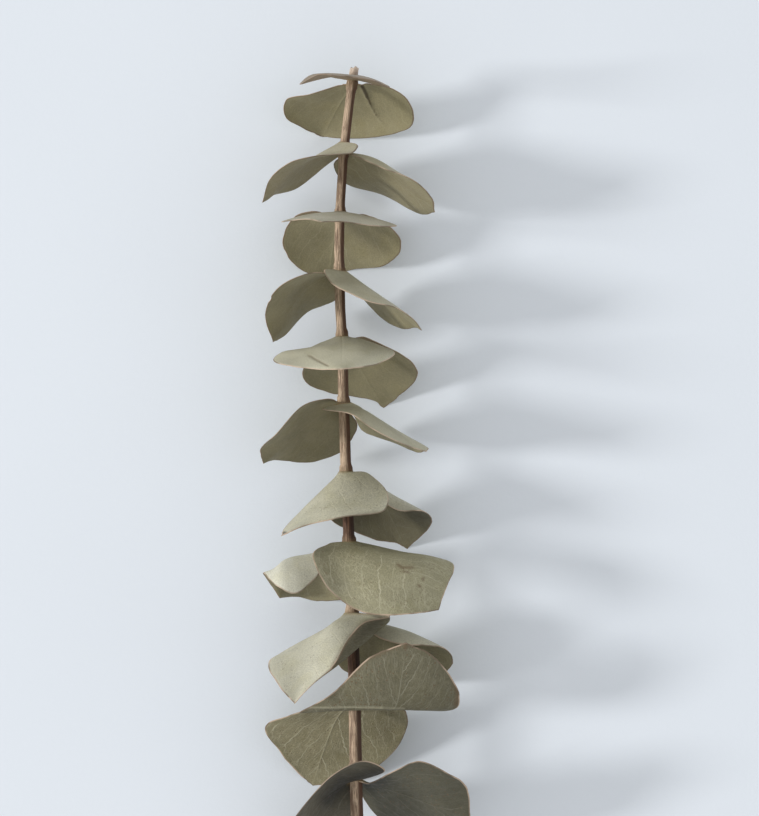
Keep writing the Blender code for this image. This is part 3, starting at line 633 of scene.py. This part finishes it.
def bark_finish(colours):
    """Dried bark: tan, with long red-brown streaks, darker at the nodes, pale where broken, painted shade on
    the right side and in stretches.
    """
    n = Nodes("dried_bark")
    x, y, z = n.attribute("round")
    node, cut, stretch_shade = n.attribute("tone")

    def shortened(share):
        """Places on the bark with only a share of their length, so that a noise there runs along it."""
        return n.point(x, n.times(y, share), z)

    streaks = n.step(n.noise(shortened(0.09), 2.2, 4.0, 0.65), *STREAK_EDGE)
    grooves = n.step(n.noise(shortened(0.05), 4.5, 2.0), *GROOVE_EDGE)
    patches = n.step(n.noise(shortened(0.3), 0.35, 2.0), *BARK_PATCHES)
    fine = n.noise(shortened(0.2), 5.0, 3.0, 0.6)
    dark = n.times(streaks, n.math("MULTIPLY_ADD", patches, STREAK_BY_PATCH, STREAK_ANYWAY))
    # Painted shade: the stem's right side, away from the lamp, darker.
    dark = n.most(dark, n.step(x, *SHADED_SIDE))
    dark = n.most(dark, n.times(grooves, GROOVE_COVER))
    face = n.mix(dark, colours.bark, colours.bark_dark)
    # Painted shade in the stretches below the leaves, in darker red-brown.
    face = n.mix(n.times(stretch_shade, STRETCH_SHADE_COVER), face, n.mix(dark, STRETCH_SHADE_TAN, STRETCH_SHADE_RED))
    face = n.dimmed(face, n.step(fine, *FINE_SHADE))
    face = n.mix(n.times(node, NODE_COVER), face, NODE_TINT)
    face = n.mix(cut, face, colours.wood)
    n.feed(n.shader.inputs["Base Color"], face)
    n.feed(n.shader.inputs["Roughness"], n.step(fine, *BARK_ROUGHNESS))
    n.shader.inputs["Specular IOR Level"].default_value = 0.3
    n.bump(n.less(n.plus(streaks, fine), grooves), BARK_RELIEF)
    return n.material


def surface_finish(colours):
    """Smooth pale board with a faint unevenness."""
    n = Nodes("pale_surface")
    place = n.add("ShaderNodeTexCoord", {}).outputs["Object"]
    shade = n.step(n.noise(place, BOARD_CLOUD_SCALE, 2.0), *BOARD_SHADE)
    n.feed(n.shader.inputs["Base Color"], n.dimmed(colours.surface, shade))
    n.shader.inputs["Roughness"].default_value = 0.75
    n.shader.inputs["Specular IOR Level"].default_value = 0.2
    n.bump(n.noise(place, BOARD_GRAIN_SCALE, 3.0), BOARD_RELIEF)
    return n.material


def spline(points, amounts):
    """Points at the amounts, 0 to 1, on a smooth curve through evenly timed points."""
    points = np.asarray(points, float)
    amounts = np.asarray(amounts, float)
    padded = np.vstack([2 * points[0] - points[1], points, 2 * points[-1] - points[-2]])
    place = np.clip(amounts, 0, 1) * (len(points) - 1)
    first = np.minimum(place.astype(int), len(points) - 2)
    s = (place - first)[..., None]
    a, b, c, d = (padded[first + index] for index in range(4))
    return 0.5 * (2 * b + (c - a) * s + (2 * a - 5 * b + 4 * c - d) * s**2 + (3 * b - a - 3 * c + d) * s**3)


def stem_centre(y):
    """Axis of the stem at y, across and above the height of the stem."""
    path = np.asarray(STEM_PATH)[::-1]
    return np.interp(y, path[:, 1], path[:, 0]), np.interp(y, path[:, 1], path[:, 2])


def stem_radius(y):
    """The stem thins towards its tip and swells a little at each node."""
    share = (TIP_Y - y) / (TIP_Y - FOOT_Y)
    swelling = sum(np.exp(-((y - at) / SWELLING_LENGTH) ** 2) for at in NODE_Y.values())
    return TIP_RADIUS + (FOOT_RADIUS - TIP_RADIUS) * share + NODE_SWELLING * swelling


def from_the_stem(grid, reach):
    """The grid with its points inside a sleeve around the stem moved out onto the sleeve."""
    centre_x, centre_z = stem_centre(grid[..., 1])
    across, up = grid[..., 0] - centre_x, grid[..., 2] - centre_z
    away = np.hypot(across, up)
    scale = np.maximum(1.0, (stem_radius(grid[..., 1]) + reach) / np.maximum(away, 1e-6))
    return np.stack([centre_x + across * scale, grid[..., 1], centre_z + up * scale], axis=-1)


def seen_from_above(point, node):
    """Where a point really is that the eye sees at this place from the node, at this height."""
    x, y, z = NODE_X[node] + point[0], NODE_Y[node] + point[1], point[2]
    nearer = 1 - z / EYE[2]
    return np.array([EYE[0] + (x - EYE[0]) * nearer, EYE[1] + (y - EYE[1]) * nearer, z])


def as_seen(grid, node):
    """Where the eye sees the points of a grid, counted from the node."""
    nearer = 1 - grid[..., 2] / EYE[2]
    x = EYE[0] + (grid[..., 0] - EYE[0]) / nearer - NODE_X[node]
    y = EYE[1] + (grid[..., 1] - EYE[1]) / nearer - NODE_Y[node]
    return np.stack([x, y], axis=-1)


def base_point(leaf, turn):
    """Point where the base clasps the stem, turn degrees round it from the middle of the base."""
    y = NODE_Y[leaf["node"]] + leaf["seat"]
    angle = math.radians(leaf["facing"] + turn)
    centre_x, centre_z = stem_centre(y)
    reach = stem_radius(y) + STEM_CLEARANCE
    return np.array([centre_x + math.sin(angle) * reach, y, centre_z + math.cos(angle) * reach])


def near_turn(leaf):
    """Degrees round the stem from the middle of the base to where the near margin starts."""
    faces_up_or_right = -60 < leaf["facing"] < 120
    return -CLASP if faces_up_or_right else CLASP


def leaf_curve(leaf, line, turn):
    """Points of one of a leaf's lines, from its start at the base to the tip."""
    seen = leaf[line] + [leaf["tip"]]
    return [base_point(leaf, turn)] + [seen_from_above(point, leaf["node"]) for point in seen]


def crowded_columns():
    """Places across a blade, -1 to 1, closer together at the rib and the margins."""
    even = np.linspace(-1, 1, COLUMNS + 1)
    return even - COLUMN_CROWDING * np.sin(2 * math.pi * even) / (2 * math.pi)


def leaf_surface(leaf, share, u):
    """Middle surface of a blade as a grid of points, rows from the base to the tip."""
    turn = near_turn(leaf)
    amounts = 0.5 * share + 0.5 * share * share * (3 - 2 * share)
    left = spline(leaf_curve(leaf, "near", turn), amounts)[:, None]
    middle = spline(leaf_curve(leaf, "rib", 0), amounts)[:, None]
    right = spline(leaf_curve(leaf, "far", -turn), amounts)[:, None]

    def across_blade(at):
        return middle + 0.5 * (right - left) * at + 0.5 * (left + right - 2 * middle) * at * at

    if "far_fold" in leaf:
        fold = spline(leaf_curve(leaf, "far_fold", -turn / 2), amounts)
        quarter = across_blade(-0.5)
        grid = np.array([
            spline([left[row, 0], quarter[row, 0], middle[row, 0], fold[row], right[row, 0]], (u + 1) / 2)
            for row in range(len(share))])
    else:
        grid = across_blade(u[None, :, None])
    grid[0] = [base_point(leaf, -turn * at) for at in u]
    return from_the_stem(grid, STEM_CLEARANCE)


def surface_normals(grid):
    """Unit normals of a grid, pointing to the leaf's upper face, which turns to the branch's tip."""
    normals = np.cross(np.gradient(grid, axis=0), np.gradient(grid, axis=1))
    normals /= np.maximum(np.linalg.norm(normals, axis=2, keepdims=True), 1e-9)
    middle = grid.shape[1] // 2
    normals[-1] = normals[-2, middle]
    lower_third = normals[1:len(normals) // 3, middle, 1]
    return -normals if lower_third.mean() < 0 else normals


def waves(leaf, share, u):
    """Height of the shallow waves of a dried blade, which die out at its base and tip."""
    start = WAVE_BY_NODE * leaf["node"] + WAVE_BY_FACING * leaf["facing"]
    share = share[:, None]
    fade = np.minimum(1, np.minimum(WAVE_RISE * share, WAVE_FALL * (1 - share)))
    swell = np.sin(WAVE_ALONG * share + WAVE_ACROSS * u + start) * (WAVE_AT_RIB + (1 - WAVE_AT_RIB) * u * u)
    turns = np.where(u > 0, FLUTTER_FAR, FLUTTER_NEAR)
    flutter = FLUTTER_SHARE * np.sin(turns * share + 2 * start) * np.abs(u) ** 3
    return WAVE_HEIGHT * (swell + flutter) * fade


def run_length(grid, axis):
    """Distance run along one direction of a grid, from its first points."""
    steps = np.linalg.norm(np.diff(grid, axis=axis), axis=2)
    shape = list(steps.shape)
    shape[axis] = 1
    return np.concatenate([np.zeros(shape), np.cumsum(steps, axis=axis)], axis=axis)


def margin_distance(grid):
    """Distance of each point of a grid to the nearest point of the leaf's free margin."""
    outline = np.vstack([grid[:, 0], grid[::-1, -1]])
    flat = grid.reshape(-1, 3)
    distance = np.sqrt(((flat[:, None] - outline[None]) ** 2).sum(axis=2)).min(axis=1)
    return distance.reshape(grid.shape[:2])


def near_path(seen, path, width):
    """How close points are to a path, from 0 well away to 1 on it."""
    best = np.full(seen.shape[:2], np.inf)
    for start, end in zip(path[:-1], path[1:]):
        start, end = np.array(start, float), np.array(end, float)
        run = end - start
        share = np.clip(((seen - start) @ run) / (run @ run), 0, 1)[..., None]
        best = np.minimum(best, np.linalg.norm(seen - start - share * run, axis=2))
    return np.exp(-(best / width) ** 2)


def outward_directions(grid):
    """Unit directions across a grid, from its near margin to its far one."""
    across = np.gradient(grid, axis=1)
    return across / np.maximum(np.linalg.norm(across, axis=2, keepdims=True), 1e-9)


def ragged_margin(grid, u, seed):
    """The grid with the slight unevenness of a dry margin."""
    outward = outward_directions(grid)
    rows = grid.shape[0]
    result = grid.copy()
    for row in range(1, rows - 1):
        for sign in (-1, 1):
            at = Vector((row * RAG_STEP, sign * RAG_SIDE, seed * RAG_SEED))
            amount = RAG_HEIGHT * noise.noise(at) + FINE_RAG_HEIGHT * noise.noise(at * FINE_RAG_RATIO)
            reach = np.clip((sign * u - (1 - RAG_BAND)) / RAG_BAND, 0, 1) ** 2
            fade = min(1.0, row / RAG_FADE_ROWS, (rows - 1 - row) / RAG_FADE_ROWS)
            result[row] += sign * outward[row] * (amount * reach * fade)[:, None]
    return result


def eased_onto_surface(heights):
    """Heights with those at or below the surface eased to just above it, in the same order."""
    level = CONTACT_EASE - STEM_HEIGHT
    eased = CONTACT_EASE * np.exp(np.minimum(heights - level, 0) / CONTACT_EASE) - STEM_HEIGHT
    return np.where(heights < level, eased, heights)


def blade_faces(rows, columns):
    """Faces of a closed blade of two grids of rows, each with its own tip, and a rounded rim between."""
    count = rows * (columns + 1) + 1
    faces = []
    for start, flip in ((0, False), (count, True)):
        tip = start + count - 1
        for row in range(rows - 1):
            for column in range(columns):
                a = start + row * (columns + 1) + column
                d = a + columns + 1
                face = (a, a + 1, d + 1, d)
                faces.append(face[::-1] if flip else face)
        for column in range(columns):
            a = start + (rows - 1) * (columns + 1) + column
            face = (a, a + 1, tip)
            faces.append(face[::-1] if flip else face)
    outline = list(range(columns + 1))
    outline += [row * (columns + 1) + columns for row in range(1, rows)]
    outline += [count - 1]
    outline += [row * (columns + 1) for row in range(rows - 1, 0, -1)]
    rim = 2 * count
    for index, a in enumerate(outline):
        following = (index + 1) % len(outline)
        b = outline[following]
        faces.append((b, a, rim + index, rim + following))
        faces.append((a + count, b + count, rim + following, rim + index))
    return faces, outline


def place_in_frame():
    """Shift in millimetres from the branch's own place to the frame's."""
    low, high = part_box("stem")
    foot_x = stem_centre(FOOT_Y)[0] + stem_radius(FOOT_Y)
    return np.array([high.x / MM - foot_x, low.y / MM - (FOOT_Y - FOOT_SLANT), STEM_HEIGHT])


def finish_piece(name, points, faces, material, attributes):
    mesh = bpy.data.meshes.new(name)
    mesh.from_pydata([tuple(point) for point in (points + place_in_frame()) * MM], [], faces)
    for key, values in attributes.items():
        attribute = mesh.attributes.new(key, "FLOAT_VECTOR", "POINT")
        attribute.data.foreach_set("vector", np.asarray(values, np.float32).ravel())
    mesh.materials.append(material)
    mesh.shade_smooth()
    mesh.validate()
    piece = bpy.data.objects.new(name, mesh)
    bpy.context.scene.collection.objects.link(piece)
    return piece


def add_blade(name, leaf, material, sizes):
    """One leaf: a thin closed blade with its rib, margin, waves and marks, in place of its solid."""
    share = np.linspace(0, 1, ROWS + 1)
    u = crowded_columns()
    seed = leaf["node"] + SEED_BY_SIDE * (leaf["facing"] % 360) / 90
    grid = leaf_surface(leaf, share, u)
    normals = surface_normals(grid)
    grid += normals * waves(leaf, share, u)[..., None]
    grid = ragged_margin(grid, u, seed)
    seen = as_seen(grid, leaf["node"])
    marks = np.zeros((*grid.shape[:2], len(PAINTED_MARKS)))
    for worn in MARKS.get(name, []):
        close = near_path(seen, worn["path"], worn["width"]) * (u >= worn["from_u"])
        if worn["kind"] == "nick":
            at_margin = close * np.clip((np.abs(u) - (1 - NICK_BAND)) / NICK_BAND, 0, 1)
            inward = -outward_directions(grid) * np.sign(u)[None, :, None]
            grid += inward * (at_margin * worn["depth"])[..., None]
        else:
            grid -= normals * (close * worn["depth"])[..., None]
            kind = PAINTED_MARKS.index(worn["kind"])
            marks[..., kind] = np.maximum(marks[..., kind], close * worn["strength"])

    run_across = run_length(grid, 1)
    across = run_across - run_across[:, COLUMNS // 2:COLUMNS // 2 + 1]
    along = np.repeat(run_length(grid[:, COLUMNS // 2:COLUMNS // 2 + 1], 0), COLUMNS + 1, axis=1)
    margin = margin_distance(grid)
    rib = np.exp(-(across / RIB_WIDTH) ** 2) * (1 - share[:, None]) ** RIB_FADE
    base = np.exp(-(along / BASE_LENGTH) ** 2)
    half = 0.5 * sizes.blade / MM * (1 + BASE_THICKENING * base)
    half *= np.clip(MARGIN_SHARE + margin / MARGIN_TAPER, MARGIN_SHARE, 1)
    upper = grid + normals * (half - RIB_ABOVE * rib)[..., None]
    lower = grid - normals * (half + sizes.rib / MM * rib)[..., None]
    faces, outline = blade_faces(ROWS, COLUMNS)

    def listed(values):
        return np.vstack([values[:-1].reshape(-1, values.shape[-1]), values[-1, COLUMNS // 2][None]])

    middle = listed(grid)
    centre = middle.mean(axis=0)
    rim = middle[outline]
    outward = rim - centre
    flat = listed(normals)[outline]
    outward -= flat * (outward * flat).sum(axis=1, keepdims=True)
    outward /= np.maximum(np.linalg.norm(outward, axis=1, keepdims=True), 1e-9)
    points = np.vstack([listed(upper), listed(lower), rim + outward * RIM_BULGE * sizes.blade / MM])
    points[:, 2] = eased_onto_surface(points[:, 2])

    def on_every_point(*values):
        values = listed(np.stack([np.broadcast_to(value, margin.shape) for value in values], axis=-1))
        return np.vstack([values, values, values[outline]])

    # The first number is the painted shade of the shade marks.
    blade = on_every_point(marks[..., 3], share[:, None], 0.0)
    blade[:len(middle), 2] = 1.0
    blade[2 * len(middle):, 2] = 0.5
    look = LOOKS[name]
    veins = look["veins"]
    attributes = {
        "blade": blade,
        "span": on_every_point(across, along, margin),
        "marks": on_every_point(marks[..., 0], marks[..., 1], marks[..., 2]),
        "tone": on_every_point(*(look.get(part, 0.0) for part in ("pale", "warm", "under_shade"))),
        "veining": on_every_point(veins, look.get("slant", 0.6), seed),
        "detail": on_every_point(*(look.get(part, veins) for part in ("rib", "net", "dots"))),
    }
    piece = finish_piece(name.replace("leaf", "blade"), points, faces, material, attributes)
    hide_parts(name)
    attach(piece, "root")


def round_the_stem(angle, reach, y):
    return Vector((math.sin(angle) * reach, y, math.cos(angle) * reach))


def add_bark(material, sizes):
    """The stem: ridged bark with scars at its swollen nodes, a splintered tip and a slanting cut foot."""
    count = int((TIP_Y - FOOT_Y) / RING_SPACING)
    rings = np.linspace(FOOT_Y, TIP_Y, count + 1)
    angles = 2 * math.pi * np.arange(STEM_SIDES) / STEM_SIDES
    points, around, tone, faces = [], [], [], []
    for y in rings:
        centre_x, centre_z = stem_centre(y)
        radius = stem_radius(y)
        nearest = min(abs(y - at) for at in NODE_Y.values())
        end = max(0.0, 1 - (TIP_Y - y) / BARK_END_LENGTH)
        # Painted shade in the stretches below the leaves.
        dark = max(much * math.exp(-((y - middle) / half) ** 4) for middle, half, much in SHADED_STRETCHES)
        for angle in angles:
            ridge = noise.noise(round_the_stem(angle, RIDGE_ROUND, y * RIDGE_ALONG))
            square = 1 + STEM_SQUARENESS * math.cos(4 * angle)
            scar = noise.noise(round_the_stem(angle, SCAR_ROUND, y * SCAR_ALONG))
            reach = radius * square + sizes.bark_relief / MM * 2 * ridge
            reach += SCAR_HEIGHT * scar * math.exp(-((nearest - SCAR_OFFSET) / SCAR_WIDTH) ** 2)
            place_y = y
            if y == FOOT_Y:
                place_y += FOOT_SLANT * math.sin(angle)
            if y == TIP_Y:
                place_y += TIP_SLANT * math.sin(2 * angle + 0.6) + TIP_SPLINTERS * math.sin(5 * angle)
            points.append((centre_x + reach * math.sin(angle), place_y, centre_z + reach * math.cos(angle)))
            around.append(tuple(round_the_stem(angle, FINISH_ROUND, y)))
            tone.append((math.exp(-(nearest / NODE_TONE_LENGTH) ** 2), end, dark))
    for ring in range(len(rings) - 1):
        for index in range(STEM_SIDES):
            after = (index + 1) % STEM_SIDES
            low, high = ring * STEM_SIDES, (ring + 1) * STEM_SIDES
            faces.append((low + after, low + index, high + index, high + after))
    for ring, dip, outward in ((0, 0.0, 1), (len(rings) - 1, -TIP_HOLLOW, -1)):
        start = ring * STEM_SIDES
        middle = np.mean(points[start:start + STEM_SIDES], axis=0) + (0, dip, 0)
        centre = len(points)
        points.append(tuple(middle))
        around.append((0.0, middle[1], 0.0))
        tone.append((0.0, 1.0, 0.0))
        for index in range(STEM_SIDES):
            pair = (start + index, start + (index + 1) % STEM_SIDES)
            faces.append((*pair[::outward], centre))
    attributes = {"round": around, "tone": tone}
    piece = finish_piece("bark", np.array(points), faces, material, attributes)
    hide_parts("stem")
    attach(piece, "root")


class AddStem(bpy.types.Operator):
    """Build the bark of the stem over its solid"""

    bl_idname = "branch.add_stem"
    bl_label = "Add stem"

    def execute(self, context):
        settings = context.scene
        add_bark(bark_finish(settings.branch_colours), settings.branch_sizes)
        return {"FINISHED"}


class LeafPairs:
    """Shared by the operators that add leaves at some of the nodes."""

    nodes = ()

    def execute(self, context):
        colours, sizes = context.scene.branch_colours, context.scene.branch_sizes
        material = bpy.data.materials.get("dried_leaf") or leaf_finish(colours, sizes)
        for name, leaf in LEAVES.items():
            if leaf["node"] in self.nodes:
                add_blade(name, leaf, material, sizes)
        return {"FINISHED"}


class AddFacingPairs(LeafPairs, bpy.types.Operator):
    """Build the leaves that stand towards the eye and towards the surface"""

    bl_idname = "branch.add_facing_pairs"
    bl_label = "Add facing pairs"
    nodes = (1, 3, 5, 7, 8, 9, 10)


class AddSidePairs(LeafPairs, bpy.types.Operator):
    """Build the leaves that stand to the left and to the right"""

    bl_idname = "branch.add_side_pairs"
    bl_label = "Add side pairs"
    nodes = (2, 4, 6, 11)


KEY_DISTANCE = 3.6
KEY_SIZE = 0.62
KEY_ELEVATION = 26
KEY_TURN = 0
KEY_POWER = 76.0
SKY_STRENGTH = 0.765
SKY_COLOUR = (0.97, 0.985, 1.0)
SURFACE_SIZE = 6.0
SENSOR = 36.0
IMAGE_WIDTH = 759
PIXEL_AT_STEM = 0.28


class AddStage(bpy.types.Operator):
    """Add the pale surface, the soft light from the left and the camera above the branch"""

    bl_idname = "branch.add_stage"
    bl_label = "Add stage"

    def execute(self, context):
        self.add_surface(context.scene)
        self.add_light(context.scene)
        self.add_camera(context.scene)
        return {"FINISHED"}

    def add_surface(self, scene):
        mesh = bpy.data.meshes.new("surface")
        half = SURFACE_SIZE / 2
        corners = [(-half, -half, 0), (half, -half, 0), (half, half, 0), (-half, half, 0)]
        mesh.from_pydata(corners, [], [(0, 1, 2, 3)])
        mesh.materials.append(surface_finish(scene.branch_colours))
        surface = bpy.data.objects.new("surface", mesh)
        scene.collection.objects.link(surface)

    def add_light(self, scene):
        scene.view_settings.view_transform = "Standard"
        world = bpy.data.worlds.new("soft_room")
        world.use_nodes = True
        sky = world.node_tree.nodes["Background"]
        sky.inputs["Color"].default_value = (*SKY_COLOUR, 1.0)
        sky.inputs["Strength"].default_value = SKY_STRENGTH
        scene.world = world
        lamp = bpy.data.lights.new("window", "AREA")
        lamp.shape = "DISK"
        lamp.size = KEY_SIZE
        lamp.energy = KEY_POWER
        item = bpy.data.objects.new("window", lamp)
        turn, rise = math.radians(KEY_TURN), math.radians(KEY_ELEVATION)
        towards = Vector((-math.cos(turn) * math.cos(rise), -math.sin(turn) * math.cos(rise), math.sin(rise)))
        item.location = towards * KEY_DISTANCE
        item.rotation_euler = towards.to_track_quat("Z", "Y").to_euler()
        scene.collection.objects.link(item)

    def add_camera(self, scene):
        data = bpy.data.cameras.new("eye")
        data.sensor_fit = "HORIZONTAL"
        data.sensor_width = SENSOR
        data.lens = SENSOR * EYE[2] / (IMAGE_WIDTH * PIXEL_AT_STEM)
        data.clip_start = 0.01
        camera = bpy.data.objects.new("eye", data)
        camera.location = Vector(place_in_frame() + np.array(EYE)) * MM
        scene.collection.objects.link(camera)
        scene.camera = camera


class BranchPanel(bpy.types.Panel):
    """Lists the settings and the steps that build the branch"""

    bl_idname = "VIEW3D_PT_branch"
    bl_label = "Eucalyptus Branch"
    bl_space_type = "VIEW_3D"
    bl_region_type = "UI"
    bl_category = "Branch"

    def draw(self, context):
        layout = self.layout
        for group in (context.scene.branch_sizes, context.scene.branch_colours):
            for name in group.__annotations__:
                layout.prop(group, name)
        for operator in STEPS:
            layout.operator(operator.bl_idname)


STEPS = (AddStage, AddStem, AddFacingPairs, AddSidePairs)
CLASSES = (BranchSizes, BranchColours, *STEPS, BranchPanel)


def register():
    for item in CLASSES:
        bpy.utils.register_class(item)
    bpy.types.Scene.branch_sizes = PointerProperty(type=BranchSizes)
    bpy.types.Scene.branch_colours = PointerProperty(type=BranchColours)


def unregister():
    del bpy.types.Scene.branch_colours
    del bpy.types.Scene.branch_sizes
    for item in reversed(CLASSES):
        bpy.utils.unregister_class(item)


def main():
    register()
    bpy.ops.branch.add_stage()
    bpy.ops.branch.add_stem()
    bpy.ops.branch.add_facing_pairs()
    bpy.ops.branch.add_side_pairs()


if __name__ == "__main__":
    main()
